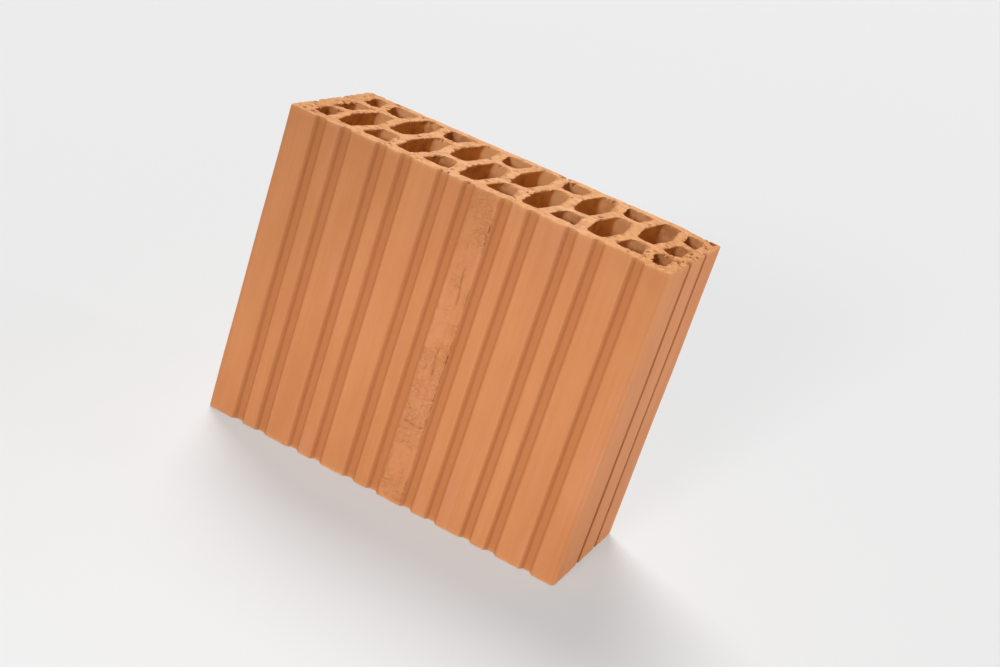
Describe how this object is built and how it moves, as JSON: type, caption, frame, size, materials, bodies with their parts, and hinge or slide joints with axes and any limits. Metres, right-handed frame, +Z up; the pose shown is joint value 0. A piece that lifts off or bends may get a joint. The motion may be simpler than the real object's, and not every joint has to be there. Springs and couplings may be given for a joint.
{
  "type": "hollow clay block",
  "caption": "Fired clay wall block with upright cells in a honeycomb of leaning webs, plaster grooves down both faces and narrow grooves down the ends.",
  "frame": {"origin": "middle of the lower bed, on the floor", "axes": "+X along the wall, to the right as seen from the front; +Y through the wall, from the front face to the back; +Z up along the cells"},
  "size_m": [0.292, 0.115, 0.238],
  "materials": {
    "fired_clay": "matte, smooth on the drawn faces and torn on the cut beds"
  },
  "bodies": {
    "root": {"clay_block": "fired_clay"}
  },
  "joints": []
}
